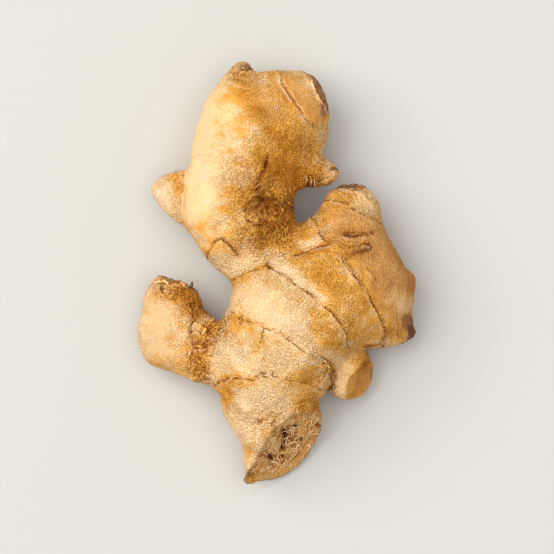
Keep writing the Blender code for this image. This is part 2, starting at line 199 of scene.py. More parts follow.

# What the skin carries, seen from above: strokes of brown, dark, corky, pale, worn, smooth or rough skin,
# each with its half width, strength and points. Pale skin is clean, worn skin rosy, rough skin wrinkled.
# The brown and dark strokes in the hollow of the neck are partly painted shade, and the pale ones on the
# left flanks, which face the left softbox, are partly a painted highlight.
MARKS = {
    "brown": [
        # The first stroke, in the hollow of the neck, is brown skin and partly painted shade.
        (4.7, 0.95, [(-2, 19.5), (1, 19), (2.5, 14.5), (-2, 12)]),
        (2.4, 0.5, [(-3.4, 32), (-4.6, 24.5), (-5.5, 19)]), (4.6, 0.95, [(0.5, 31), (7.5, 27.5)]),
        (4.5, 0.18, [(-9, 31), (-11, 18)]), (3, 0.2, [(-30, 27), (-29.5, 19)]),
        (1.4, 0.9, [(41.2, -2), (41.6, -7)]), (2.2, 0.3, [(-21, 17), (-12, 18)]),
        (2.6, 0.5, [(-18.5, 7.5), (-13, 6.5)]), (5, 0.45, [(8, 4), (17, -1.5)]),
        (7, 0.8, [(26, 8), (33, 0), (34, -6)]), (6.5, 0.5, [(17, -8), (25, -13)]),
        (1.6, 0.85, [(5.5, 5.2), (10, 6.2), (17, 8.4)]), (3, 0.5, [(4, 9), (9, 11)]),
        (3, 0.65, [(-10.5, 53), (-9, 55.5)]), (6, 0.6, [(-6, 47), (-1, 43), (4, 38)]),
        (4, 0.6, [(7, 52), (12, 47)]), (2.8, 0.7, [(-15.5, -34.6), (-14, -38)]),
        (2, 0.6, [(-14, -31.8), (-7, -32.5)]), (4.4, 0.65, [(8, -38.5), (12, -40)]),
        (3, 0.6, [(-31, -6), (-26.5, -7), (-24.5, -11.5)]),
        (3, 0.36, [(-17, -15.5), (-21, -20), (-22.8, -25)]), (2.4, 0.45, [(-22.8, -25), (-23.2, -30)]),
        (1.8, 0.6, [(-29.5, 27), (-28.8, 22)]), (2, 0.7, [(-36, -26.5), (-34.5, -27.5)]),
        (1.8, 0.6, [(-13, -3.5), (-9, -1.2), (-3, 1)]), (2, 0.55, [(-12, -14), (-8, -15.5)]),
        (3.4, 0.6, [(14, -16), (18.5, -22)]), (4, 0.55, [(9, -31), (13, -29)]),
        (1.8, 0.6, [(22, -16), (23.5, -17.5)]), (2.4, 0.55, [(23, -30), (27, -26.5)]),
        (3.4, 0.65, [(35, -18), (38, -14)]), (4, 0.5, [(34, 4), (38, -4)]),
        (2.2, 0.5, [(38.5, 2), (41.5, -5)]), (1.3, 1, [(33.8, 7), (35.4, 5)]),
        (2.2, 0.75, [(24.5, -3.5), (26, -6)]), (2.6, 1, [(20, 11.2), (24, 11.8), (28, 11.2)]),
        (2.2, 1, [(21.5, 5.2), (25, 5.6), (28, 7)]), (5.5, 0.5, [(20, 18), (24, 11)]),
        (2, 0.4, [(-8, -27.5), (-6, -24)]),
    ],
    "dark": [
        # The first five strokes, in and above the hollow of the neck, are partly painted shade.
        (4, 0.38, [(-2.2, 20), (2, 18)]),
        (2.4, 0.45, [(-2, 20.5), (2, 20)]), (0.8, 0.7, [(-2.4, 33), (-3.6, 29), (-4.8, 25)]),
        (2, 0.45, [(-4, 14.5), (1, 12)]), (1.6, 0.45, [(4.5, 22.5), (5.6, 18)]),
        (0.9, 1, [(-2.4, 2.1), (-1.9, 1.2)]), (0.8, 0.55, [(17, 25), (22, 26.4), (26.6, 24.8)]),
        (1.3, 0.7, [(20.4, 11), (24, 11), (28.2, 11.4)]), (1.4, 0.7, [(22.8, 5), (25, 5.8), (28, 7.2)]),
        (0.7, 0.55, [(6, 5), (11, 6), (16.5, 8)]), (0.8, 0.6, [(40.4, -13.6), (41.8, -16.6)]),
        (0.9, 0.95, [(13.9, -45.6), (14.1, -47.2)]), (0.8, 0.45, [(-24.8, -16.8), (-24.4, -18.4)]),
        (0.8, 0.6, [(-24.8, -19.8), (-23.6, -21.6), (-21.8, -21.8)]),
        (0.8, 0.7, [(27.4, -23.2), (28.8, -24.8)]),
        (0.6, 0.6, [(30.4, -28.5), (31.2, -32), (29.2, -36.5), (26, -39.2)]),
        (1, 0.8, [(17.4, 30.4), (18.6, 30.6)]), (0.8, 0.6, [(-9, 61.8), (-6.6, 60.6)]),
        (0.8, 0.6, [(-31.6, 29.6), (-29.8, 30)]), (0.8, 0.8, [(-32, -1.6), (-31, -2.2)]),
        (0.8, 0.8, [(-24.6, -4.6), (-23.8, -5.6)]), (1.4, 0.75, [(40.6, -17.2), (41.8, -20.2)]),
    ],
    "cork": [
        (2.4, 1, [(12.6, 58.5), (14.8, 53), (14.8, 48.5)]),
        (1.4, 0.55, [(17.5, 24.6), (22, 26.4), (27, 24.6)]), (2.6, 1, [(40, -15), (41.6, -19)]),
        (1.6, 0.75, [(26.5, -38), (29.5, -35), (30.4, -30)]), (1.2, 0.6, [(17, 31.2), (18.6, 30.2)]),
        (1, 0.6, [(-1.4, 60.2), (1.2, 60.8)]), (1.2, 0.8, [(-33, -1.2), (-31, -1.8)]),
    ],
    "pale": [
        # On the left flanks, which face the left softbox, these pale strokes are partly a painted highlight.
        (4.6, 0.85, [(-21.5, 31), (-20.5, 19)]),
        (4, 0.6, [(-20, 49), (-21, 38)]), (6.5, 0.65, [(-7, -8), (6, -14)]),
        (6, 0.45, [(-6, -22), (4, -26)]), (6, 0.65, [(-5, -36), (4, -40)]),
        (1.8, 1, [(0.8, 1.4), (5.5, -1.6), (9.5, -4), (14, -7.6)]), (2, 0.8, [(7.5, 8), (12, 8.8)]),
        (5.5, 0.7, [(-35, -12), (-36, -20)]), (4.4, 0.7, [(-16, -26), (-10, -27)]),
        (3, 0.6, [(-9, -38), (-7, -44)]), (2.4, 0.4, [(-13, 47.5), (-9.5, 44)]),
        (3, 0.6, [(20, -28), (19, -34)]), (4, 0.9, [(-30, 19), (-34, 24)]), (3, 0.6, [(-15, 3.5), (-10, 1)]),
        (2.4, 0.6, [(-21, -32.5), (-17, -31)]), (2.4, 0.6, [(-13, -43.6), (-10, -50)]),
        (2.4, 0.6, [(-36, -4.5), (-33, -4.5)]), (2.6, 0.6, [(29.5, -11.5), (31.5, -15)]),
        (2.6, 1, [(36, -8.5), (38.5, -11)]),
    ],
    "worn": [
        (6, 0.9, [(28, 13), (33, 1), (37, -10)]),
        (4, 0.8, [(22, 16), (17, 12)]), (4.5, 0.7, [(6, 55), (10.5, 49)]),
        (5, 0.6, [(-35, -12), (-35, -22)]), (3.5, 0.6, [(-3, 53), (-1, 47)]),
        (2.4, 0.6, [(27, -37), (29, -31)]),
    ],
    "smooth": [
        (7, 0.95, [(-19, 52), (-22, 42), (-23, 20)]),
        (4, 0.8, [(-24, 16), (-18, 8)]), (5, 0.5, [(-8, -8), (0, -14)]),
        (5, 0.6, [(-36, -10), (-36, -22), (-28, -32)]), (4, 0.7, [(25.5, 1), (29, -7), (31, -13)]),
        (4, 0.5, [(-12, 50), (-14, 38)]), (4, 0.5, [(20, -29), (21, -35)]), (5, 0.65, [(5, 54), (11, 48)]),
        (3, 0.6, [(-18, -32), (-14, -46), (-9, -56)]),
    ],
    "rough": [
        (5.6, 1, [(-3.5, 22), (1, 20), (1, 13), (-4, 12)]),
        (4.5, 0.22, [(-9, 31), (-11, 18)]), (5, 0.3, [(6, 38), (9, 31)]),
        (3.4, 0.95, [(-16, -16.5), (-20, -20), (-22.5, -25), (-22.6, -31)]),
        (3.6, 0.9, [(-33, -5), (-26.5, -6), (-24, -11)]), (2.4, 0.8, [(14.5, 57.5), (15.6, 50)]),
        (2, 0.8, [(18, 25), (26, 25.5)]), (3, 0.4, [(-29.5, 28), (-29, 18)]),
        (2.6, 0.6, [(13, 32), (13, 27)]), (2.2, 0.8, [(15, -28), (17.2, -34)]),
        (3.4, 0.6, [(10, -39), (7, -42)]), (2.8, 0.5, [(-5, -44), (0, -44)]),
        (2.6, 0.6, [(-12, 59), (-8, 60)]), (2.6, 0.5, [(-16, -34), (-13, -42)]),
        (2.6, 0.4, [(40, -14), (41, -19)]),
    ],
}

# Round scars of old roots, on the lower side and the flanks: place and radius.
ROOT_SCARS = [
    ((-10, -12, 2), 1.5), ((6, -16, 1), 1.7), ((-2, -31, 1), 1.4), ((9, -28, 3), 1.2), ((16, 1, 2), 1.6),
    ((27, 3, 4), 1.3), ((30, -12, 2), 1.4), ((-6, 10, 3), 1.3), ((-14, 24, 2), 1.6), ((-4, 30, 1), 1.4),
    ((-16, 40, 3), 1.5), ((-1, 45, 2), 1.3), ((-22, -24, 2), 1.1), ((-33, -15, 3), 1.3), ((12, -44, 6), 1.1),
    ((-9, 52, 4), 1.2), ((21, 14, 6), 1.2), ((-12, -40, 5), 1.1),
]

# Pits in the torn face, as strokes seen from above: half width, depth and points.
PITS = [
    (0.6, 1.5, [(3.6, -48.8), (3.5, -51.4)]), (0.5, 1.2, [(3.5, -51.4), (3.2, -54.6)]),
    (0.65, 1.9, [(-0.9, -56.4), (-0.3, -56.8)]), (0.55, 0.9, [(-0.9, -58), (-0.6, -59.4)]),
    (0.45, 1.3, [(2.5, -56.9), (2.9, -56.8)]), (2.2, 0.45, [(6, -48.6), (5.2, -51)]),
    (0.55, 0.6, [(6.8, -47.4), (5.8, -48)]), (0.45, 0.6, [(0.3, -54.2), (0.1, -55)]),
    (0.5, 0.6, [(8.8, -51), (8.2, -52.6)]),
]

# Papery edges that stand up from the skin: height, how far the top leans to the left of the way along it,
# how brown it is, and points seen from above.
FRILLS = [
    # Along the rings and old leaf edges
    (0.36, 0.5, 0.35, [(-2.1, 2.2), (-0.9, 1.3), (0.9, -0.1), (3.3, -1.6), (5.1, -3.4)]),
    (0.36, 0.5, 0.35, [(6.3, -4.3), (8.4, -5.8), (11.1, -7.6), (12.9, -8.5)]),
    (0.44, 0.7, 0.35, [(14.1, -10.7), (15.9, -12.4), (17.4, -14.5), (19.2, -16.3)]),
    (0.36, 0.5, 0.35, [(19.5, -16.9), (20.7, -18.8), (21.3, -21.1)]),
    (0.32, 0.5, 0.35, [(20.1, 4.3), (21.6, 1.6), (23.7, -1.3), (25.8, -5), (27.9, -8.5)]),
    (0.36, 0.5, 0.35, [(28.2, -9.2), (29.7, -12.2), (31.5, -16.1), (32.4, -19.1), (32.1, -22.1)]),
    (0.32, 0.6, 0.35, [(-13.5, -12.2), (-10.5, -14.5), (-7.5, -15.4), (-3.9, -16.3), (0, -17.8)]),
    (0.36, 0.6, 0.35, [(0.3, -18.1), (3, -19.6), (6, -22.1), (9, -24.4)]),
    (0.4, 0.6, 0.35, [(9.6, -24.8), (12.9, -26.8), (15.6, -28.3)]),
    (0.28, 0.5, 0.35, [(-15.9, -34.9), (-12.6, -31.6), (-9, -31.3), (-5.1, -32.2)]),
    (0.28, 0.5, 0.35, [(-1.5, -31.3), (2.4, -32.2), (7.5, -33.4)]),
    (0.5, 0.5, 0.2, [(2.4, 58), (3.6, 55), (6, 50.9), (9, 46.6), (11.1, 43.6)]),
    (0.6, 0.6, 0.2, [(9.9, 58.9), (11.1, 55.4), (12.9, 52), (14.4, 49.4)]),
    (0.28, 0.5, 0.35, [(-26.7, 22.6), (-27.3, 19.1), (-27.3, 15.4)]),
    (0.36, 0.5, 0.35, [(-21.9, -4.6), (-20.1, -1.6), (-18, -0.1), (-16.2, 0.1)]),
    (0.2, 0.5, 0.7, [(6, 5.5), (9, 6.5), (12, 7.3), (15, 7.9), (17.1, 8.8)]),
    (0.22, 0.5, 0.7, [(20.4, 10.9), (22.5, 10.7), (24.9, 11.2), (27.6, 10.9)]),
    (0.22, 0.5, 0.7, [(21, 5.8), (23.4, 6.8), (25.8, 7), (27.9, 7.9)]),
    (0.32, 0.5, 0.35, [(23.1, -21.8), (24.9, -22.9), (27.3, -23.2), (29.7, -22.9), (32.1, -22.1)]),
    (0.28, 0.4, 0.35, [(16.5, 20.6), (18.3, 22.3), (21, 23.8), (24, 23.6), (26.4, 22.3), (28.8, 19.9)]),
    # The shaggy collar of the left finger
    (1.15, 1, 0.36, [(-18, -13.3), (-19.5, -15.1), (-21, -16.6), (-22.2, -19.3)]),
    (0.77, 0.8, 0.36, [(-24.9, -22.1), (-25.5, -24.1), (-25.8, -26.6), (-25.5, -28.9), (-24.9, -31.3)]),
    (1.02, 1, 0.36, [(-24.9, -16.6), (-24.3, -15.8), (-23.1, -16.3), (-22.5, -17.8)]),
    (0.89, 1, 0.36, [(-24, -18.1), (-23.4, -18.8), (-22.2, -19.6)]),
    (1.02, 1, 0.36, [(-24.6, -20.6), (-24.3, -22.1), (-23.1, -22.6), (-21.6, -22.3)]),
    (0.89, 0.9, 0.36, [(-20.7, -19.9), (-19.5, -19.9), (-18.3, -20.8)]),
    (0.89, 0.9, 0.36, [(-19.2, -13.9), (-18.6, -16.1), (-19.2, -18.1)]),
    (0.77, 0.9, 0.36, [(-17.4, -14.2), (-16.8, -16.3), (-17.7, -18.4)]),
    (0.77, 0.9, 0.36, [(-15.6, -14.8), (-15.3, -16.9), (-16.2, -19.1)]),
    (0.64, 0.9, 0.36, [(-14.1, -16.3), (-14.7, -18.1), (-15.9, -20.2)]),
    # The ruffled cap of the left finger
    (1.12, 0.5, 0.3, [(-38.4, -4.6), (-37.2, -3.8), (-35.4, -3.4), (-33.6, -3.1), (-31.8, -4)]),
    (1.12, 0.5, 0.3, [(-31.2, -4.3), (-29.7, -3.8), (-28.2, -4), (-26.7, -5)]),
    (0.98, 0.5, 0.3, [(-26.4, -4.6), (-24.9, -3.8), (-23.4, -5.5)]),
    # Scales in the hollow of the neck
    (1.25, 0.8, 0.3, [(-6, 24.4), (-5.1, 25.3), (-4.5, 26.2)]),
    (1.25, 0.8, 0.3, [(-4.5, 23.8), (-3.6, 25.1), (-3.3, 26.2)]),
    (1.25, 0.8, 0.3, [(-3, 24.1), (-2.4, 25.3), (-1.8, 26.2)]),
    (1.25, 0.8, 0.3, [(-1.5, 23.8), (-0.6, 24.8), (0.3, 25.1)]),
    (1, 0.8, 0.45, [(-7.2, 22.1), (-6, 22.9), (-4.8, 22.9)]),
    (1, 0.8, 0.45, [(-3.9, 22.1), (-2.7, 22.9), (-1.2, 22.3)]),
    (0.6, 0.8, 0.75, [(-9, 18.1), (-7.8, 19.9), (-5.7, 20.8), (-3.6, 20.6), (-1.8, 19.1)]),
    (0.55, 0.8, 0.8, [(-7.2, 17.2), (-5.7, 18.4), (-3.9, 18.1), (-3, 16.6)]),
    (0.63, 0.8, 0.55, [(-9.6, 15.4), (-8.1, 14.2), (-6, 13.7), (-3.9, 14.2)]),
    (0.63, 0.8, 0.55, [(0, 20.6), (1.5, 19.3), (2.4, 17.2)]),
    (0.63, 0.8, 0.55, [(1.5, 22.6), (3.3, 21.4), (4.5, 19.3)]),
    # Slits at the foot of the right bud
    (0.95, 0.6, 0.1, [(9.3, 28.6), (9.4, 26.2)]), (0.95, 0.6, 0.1, [(10.5, 28.3), (10.7, 25.9)]),
    (0.95, 0.6, 0.1, [(11.5, 27.8), (11.5, 25.6)]),
    # The fold beside the knob
    (0.91, 0.7, 0.4, [(12.9, -24.1), (15, -25.6), (16.8, -27.8), (17.7, -30.1), (17.4, -32.9)]),
    (0.78, 0.7, 0.4, [(14.7, -27.1), (15.6, -28.9), (15.6, -31.3)]),
    (0.65, 0.7, 0.4, [(13.2, -28.3), (13.8, -30.4), (13.2, -32.5)]),
    # Curled skin at short cracks and on the top bud
    (0.5, 0.6, 0.45, [(-5.4, -44.5), (-4.2, -43.6), (-2.4, -43.6)]),
    (0.45, 0.6, 0.45, [(-5.7, -46), (-4.5, -44.9), (-3.3, -44.2)]),
    (0.5, 0.6, 0.45, [(-11.4, -11.8), (-10.5, -10.3), (-9.3, -11.8)]),
    (0.45, 0.6, 0.45, [(-9.3, -12.2), (-8.1, -13)]), (0.45, 0.6, 0.45, [(-3.9, -17.6), (-4.5, -19.9)]),
    (0.45, 0.6, 0.45, [(-5.4, -32.2), (-4.2, -30.1), (-3, -31.6)]),
    (0.45, 0.6, 0.45, [(-11.1, 61.6), (-9.6, 62.8), (-8.1, 63.4), (-6.6, 62.5)]),
    (0.4, 0.6, 0.45, [(-10.8, 58.6), (-9, 59.5), (-7.2, 58.9)]),
]
# How far apart their points are, in how many rows, their thickness, and how deep they are rooted.
FRILL_STEP, FRILL_ROWS, FRILL_THICKNESS, FRILL_ROOT = 0.35, 4, 0.12, 0.35

# Loose strands on the torn face: the ones that show most, seen from above. After them come the number of
# smaller ones, and the radius of all.
STRANDS = [
    [(-0.6, -57.1), (0.6, -58.3), (1.8, -58.8), (3, -58), (3.8, -56.4)],
    [(3.8, -56.4), (4.5, -55), (4.8, -53.2)],
    [(-1.5, -55.4), (-0.3, -53.2), (0.6, -51.4)],
    [(8.7, -46.9), (8.4, -48.8), (8.7, -50.9), (9.3, -52.4)],
    [(10.2, -46.9), (10.5, -48.8), (9.9, -50.5)],
    [(0.3, -58.6), (1.5, -59.5), (2.7, -59.5)],
    [(-0.9, -57.1), (0, -57.6), (1.5, -58)],
    [(-2.1, -61.3), (-2.2, -59.2), (-1.8, -57.4)],
    [(2.4, -52.9), (2.1, -50.9), (2.7, -49)],
    [(4.5, -47.9), (5.7, -46.9), (7.5, -46.6)],
    [(-0.9, -61.6), (-0.3, -60.1), (1.2, -59.8)],
    [(3, -56.9), (3.9, -57.8), (3.3, -59.2)],
]
SMALL_STRANDS, STRAND_RADIUS = 150, 0.12

# Tips of buds and stubs of roots: foot, tip, and the radius of the foot.
TIPS = [
    ((-31.2, -4.6, 15.5), (-32, -2.4, 17), 1),
    ((-25.2, -4.6, 15), (-24.6, -2.9, 17), 0.45),
    ((12.2, -46.2, 14), (14, -46.6, 14.6), 0.75),
    ((-8.6, 61.2, 15.5), (-8.2, 62.4, 16.4), 0.5),
    ((17, 30.2, 16), (18.6, 31, 17), 0.6),
    ((-31.6, 27.6, 13.5), (-32, 29.4, 14.4), 0.6),
    ((33.8, -19.6, 8.5), (35.6, -21, 8.8), 0.6),
]


def clip01(values):
    return np.clip(values, 0, 1)


def smooth_step(low, high, values):
    share = clip01((values - low) / (high - low))
    return share * share * (3 - 2 * share)


def bump(distance, width):
    return np.exp(-(distance / width) ** 2)


def unit(vectors):
    """The same directions with a length of 1."""
    return vectors / np.maximum(np.linalg.norm(vectors, axis=-1, keepdims=True), 1e-9)


def within(points, low, high):
    return ((points > low) & (points < high)).all(1)


def noise_at(points, wavelength, shift=0.0):
    """Smooth noise between about -1 and 1, with lumps as wide as half the wavelength."""
    scaled = points / wavelength + (shift, 0, 0)
    return np.array([noise.noise(place) for place in scaled.tolist()])


def ridges_at(points, wavelength, shift=0.0):
    """Noise with narrow crests at 1 and broad hollows down to 0."""
    return 1 - np.minimum(np.abs(noise_at(points, wavelength, shift)) * 2.4, 1)


def curve_through(stations, steps):
    """Points on a smooth curve through the stations."""
    known = np.array(stations, float)
    known = np.vstack([2 * known[0] - known[1], known, 2 * known[-1] - known[-2]])
    line = []
    for before, start, end, after in zip(known, known[1:], known[2:], known[3:]):
        for t in np.arange(steps) / steps:
            line.append(0.5 * (
                2 * start
                + (end - before) * t
                + (2 * before - 5 * start + 4 * end - after) * t**2
                + (3 * start - before - 3 * end + after) * t**3
            ))
    line.append(known[-2])
    return np.array(line)


MIDDLE_LINES = {
    name: curve_through(finger.stations, STEPS_BETWEEN_STATIONS) for name, finger in FINGERS.items()
}
# The distance given where it is too great to matter, and how far from a finger's box it is given.
FAR, BLEND_REACH = 30.0, 9.0


def smooth_min(a, b, blend):
    share = clip01(0.5 + 0.5 * (b - a) / blend)
    return b + (a - b) * share - blend * share * (1 - share)


def smooth_max(a, b, blend):
    return -smooth_min(-a, -b, blend)


def finger_distance(points, name):
    """How far each point is outside one finger, below zero inside it, and FAR where it is well away."""
    line = MIDDLE_LINES[name]
    squash = np.array([1, 1, 1 / FINGERS[name].flatness])
    low = (line[:, :3] - line[:, 3:]).min(0) - BLEND_REACH
    high = (line[:, :3] + line[:, 3:]).max(0) + BLEND_REACH
    near = within(points, low, high)
    there = points[near] * squash
    nearest = np.full(len(there), FAR)
    for start, end in zip(line, line[1:]):
        foot, along = start[:3] * squash, (end[:3] - start[:3]) * squash
        away = there - foot
        t = clip01(away @ along / (along @ along))
        away -= t[:, None] * along
        radius = start[3] + t * (end[3] - start[3])
        nearest = np.minimum(nearest, np.sqrt((away * away).sum(1)) - radius)
    distance = np.full(len(points), FAR)
    distance[near] = nearest
    return distance


def face_distance(points, face):
    return (points - np.array(face.middle)) @ unit(np.array(face.outward))


def joined_distance(points, names):
    """How far each point is outside some fingers that melt into each other."""
    distance = finger_distance(points, names[0])
    for name in names[1:]:
        distance = smooth_min(distance, finger_distance(points, name), FINGERS[name].blend)
    return distance


def body_distance(points):
    """How far each point is outside the rhizome without its relief."""
    distance = joined_distance(points, WHOLE_FINGERS)
    for face in FLAT_ENDS.values():
        found = smooth_max(joined_distance(points, face.fingers), face_distance(points, face), face.rim)
        distance = smooth_min(distance, found, FINGERS[face.fingers[0]].blend)
    return distance


def slope_at(points, distance):
    tiny = 0.05
    steps = [body_distance(points + tiny * axis) - distance for axis in np.eye(3)]
    return np.stack(steps, axis=1) / tiny


def settle(points):
    """Moves each point straight onto the plain form, and gives the way out of it there."""
    for _ in range(SETTLING_ROUNDS):
        distance = body_distance(points)
        slope = slope_at(points, distance)
        steepness = np.maximum((slope * slope).sum(1), 0.25)
        points = points - (distance / steepness)[:, None] * slope
    return points, unit(slope_at(points, body_distance(points)))


# The relief of the skin


def plan_distance(points, line):
    """Distance from a line seen from above: signed, above zero on its left, and how far past its ends."""
    flat = points[:, :2]
    best = np.full(len(points), FAR)
    signed = np.full(len(points), FAR)
    beyond = np.zeros(len(points))
    last = len(line) - 2
    for index, (start, end) in enumerate(zip(line, line[1:])):
        along = end - start
        length = np.linalg.norm(along)
        along = along / length
        away = flat - start
        t = away @ along
        side = away @ np.array([-along[1], along[0]])
        past_end = np.maximum(np.maximum(-t, t - length), 0)
        distance = np.hypot(side, past_end)
        closer = distance < best
        best[closer] = distance[closer]
        open_end = (index == 0) * (t < 0) | (index == last) * (t > length)
        signed[closer] = (np.sign(side) * np.where(open_end, np.abs(side), distance))[closer]
        beyond[closer] = (past_end * open_end)[closer]
    return signed, beyond


def stroke(points, width, course):
    """A soft stroke along a course seen from above: 1 at its middle, fading over about its half width."""
    return bump(np.hypot(*plan_distance(points, np.array(course, float))), width)


def mark_share(points, marks):
    """How much of one kind of mark each point carries, from 0 to 1."""
    bare = np.ones(len(points))
    for width, strength, course in marks:
        low, high = np.min(course, axis=0) - 2.5 * width, np.max(course, axis=0) + 2.5 * width
        near = within(points[:, :2], low, high)
        bare[near] *= 1 - strength * stroke(points[near], width, course)
    return 1 - bare


# How far the lines fade past their ends, how wide their edge and groove are, and how far aside they tell.
END_FADE, STEP_WIDTH, GROOVE_WIDTH, LINE_REACH = 1.2, 0.28, 0.42, 6.0
# How much of the lines' relief is used, and the height of a lip that is shown at its full strength.
LINE_STRENGTH, FULL_LIP = 0.8, 0.45


def line_wander(points):
    """How far a line of the skin strays to its right, so that it isn't drawn too straight."""
    broad, small = 0.45 * noise_at(points, 7.0), 0.28 * noise_at(points, 2.3, 4.0)
    return broad + small + 0.18 * noise_at(points, 1.2, 6.0)


def follow_lines(points):
    """The relief of the skin's lines, the distance from the nearest, and how brown and lipped that is, the
    brown partly painted shade.
    """
    wave = line_wander(points)
    uneven = 0.75 + 0.6 * noise_at(points, 5.0, 8.0)
    relief, dark, lipped = np.zeros((3, len(points)))
    past = np.full(len(points), FAR)
    for full_lip, reach, full_groove, brown, course in LINES:
        course = curve_through(course, 4)
        near = np.flatnonzero(within(points[:, :2], course.min(0) - 5, course.max(0) + 5))
        signed, beyond = plan_distance(points[near], course)
        signed = signed + wave[near]
        strength = clip01(1 - beyond / END_FADE)
        below = 0.5 - 0.5 * np.tanh(signed / STEP_WIDTH)
        lip = full_lip * np.exp(np.minimum(signed, 0) / reach) * below
        groove = full_groove * bump(signed - 0.2, GROOVE_WIDTH)
        relief[near] += LINE_STRENGTH * strength * uneven[near] * (lip - groove)
        faded = signed + np.where(signed < 0, -LINE_REACH, LINE_REACH) * (1 - strength)
        closer = np.abs(faded) < np.abs(past[near])
        past[near[closer]] = faded[closer]
        dark[near[closer]] = brown
        lipped[near[closer]] = full_lip / FULL_LIP
    return relief, np.clip(past, -LINE_REACH, LINE_REACH), dark, lipped


def root_scars(points):
    """The relief of the old roots' scars, a low rim round a hollow, and how much of a scar each point is."""
    relief, share = np.zeros((2, len(points)))
    for place, radius in ROOT_SCARS:
        distance = np.linalg.norm((points - np.array(place)) * (1, 1, 0.45), axis=1)
        relief += 0.35 * bump(distance - radius, 0.45) - 0.45 * bump(distance, 0.7 * radius)
        share = np.maximum(share, 1 - smooth_step(0.6 * radius, 1.3 * radius, distance))
    return relief, share


def large_relief(points):
    relief = np.zeros(len(points))
    for place, radius, height in SWELLINGS:
        relief += height * bump(np.linalg.norm(points - np.array(place), axis=1), radius)
    for wavelength, height in LUMPS:
        relief += height * noise_at(points, wavelength, shift=wavelength)
    return relief


def warped(points, reach, wavelength, shift, step=11.0):
    """The points, moved about by noise, so that what is drawn at them has a natural edge."""
    moves = [noise_at(points, wavelength, shift + step * axis) for axis in range(3)]
    return points + reach * np.stack(moves, axis=1)


def on_face(points, face):
    """1 on a flat end and 0 on the skin round it, and how far inside its rim each point is."""
    inside = -joined_distance(points, face.fingers)
    depth = np.abs(face_distance(points, face))
    return smooth_step(0.0, 0.5, inside) * (1 - smooth_step(0.5, 1.0, depth)), inside


# How long the wrinkles are along and round a finger, and the radius that turns angles round it into lengths.
WRINKLE_ALONG, WRINKLE_ROUND, WRINKLE_RADIUS = 1.5, 4.2, 12.0


def grain_relief(points):
    """Fine wrinkles across each finger, from noise that is stretched round its middle line."""
    total = np.zeros(len(points))
    weight = np.full(len(points), 1e-9)
    for order, name in enumerate(FINGERS):
        distance = finger_distance(points, name)
        near = distance < 2.5
        if not near.any():
            continue
        line = MIDDLE_LINES[name][:, :3]
        there = points[near]
        nearest = np.full(len(there), FAR)
        along_line, around = np.zeros((2, len(there)))
        walked = 0.0
        for start, end in zip(line, line[1:]):
            length = np.linalg.norm(end - start)
            ahead = (end - start) / length
            side = np.cross(ahead, (0, 0, 1))
            away = there - start
            t = np.clip(away @ ahead, 0, length)
            off = away - t[:, None] * ahead
            reach = np.linalg.norm(off, axis=1)
            closer = reach < nearest
            nearest[closer] = reach[closer]
            along_line[closer] = (walked + t)[closer]
            around[closer] = (np.arctan2(off @ side, off[:, 2]) * WRINKLE_RADIUS)[closer]
            walked += length
        apart = np.full(len(there), 7.0 * order)
        flat = np.stack([along_line / WRINKLE_ALONG, around / WRINKLE_ROUND, apart], axis=1)
        share = np.exp(-2.0 * np.maximum(distance[near], 0))
        total[near] += share * noise_at(flat, 1.0)
        weight[near] += share
    return total / weight


def faces_share(points):
    """How much of the torn face, its rim and the knob's end each point is, and the torn face's dish."""
    torn, inside = on_face(points, FLAT_ENDS["torn"])
    knob_face = on_face(points, FLAT_ENDS["knob"])[0]
    rim = torn * (1 - smooth_step(0.8, 3.2, inside + 1.2 * noise_at(points, 5.0, 13.0)))
    return torn, rim, knob_face, 0.9 * torn * smooth_step(0.2, 2.4, inside)


# How wide and how long the strands of the torn face are, and which way they run, seen from above.
STRAND_WIDTH, STRAND_LENGTH = 1.3, 7.0
STRAND_WAY = np.array([0.30, 0.95])


def along_strands(points):
    """The points, squeezed so that noise at them is drawn out along the strands of the torn face."""
    along = points[:, :2] @ STRAND_WAY
    across = points[:, :2] @ np.array([STRAND_WAY[1], -STRAND_WAY[0]])
    bend = 0.8 * noise_at(points, 6.0, 17.0)
    return np.stack([(across + bend) / STRAND_WIDTH, along / STRAND_LENGTH, np.zeros(len(points))], axis=1)


def fine_relief(points, shares, torn, rim):
    """The wrinkles of the skin and the tatters of the torn face, and how deep in a pit each point is."""
    even = 1 - np.maximum(0.7 * shares["worn"], 0.85 * shares["smooth"])
    crests = ridges_at(points, 2.6, 30.0) - 0.5
    fine_crests = ridges_at(points, 1.4, 40.0) - 0.5
    small = noise_at(points, 1.9, 3.0)
    skin = (0.16 * grain_relief(points) + 0.08 * small + 0.08 * noise_at(points, 1.05, 9.0)) * even
    skin += shares["rough"] * (0.55 * crests + 0.50 * fine_crests) - 0.35 * shares["dark"]
    strands = ridges_at(along_strands(points), 1.0, 50.0) - 0.5
    pits = sum(depth * stroke(points, width, course) for width, depth, course in PITS)
    face = (0.30 * crests + 0.45 * strands + 0.20 * small) * (1 - 0.65 * rim) - pits
    return skin * (1 - torn) + face * torn, clip01(pits) * torn


# The skin's mesh


def add_object(name, data):
    obj = bpy.data.objects.new(name, data)
    bpy.context.scene.collection.objects.link(obj)
    return obj


def apply_modifiers(obj):
    graph = bpy.context.evaluated_depsgraph_get()
    mesh = bpy.data.meshes.new_from_object(obj.evaluated_get(graph))
    obj.modifiers.clear()
    obj.data = mesh


def remeshed(obj, voxel):
    modifier = obj.modifiers.new("Remesh", "REMESH")
    modifier.mode = "VOXEL"
    modifier.voxel_size = voxel
    apply_modifiers(obj)


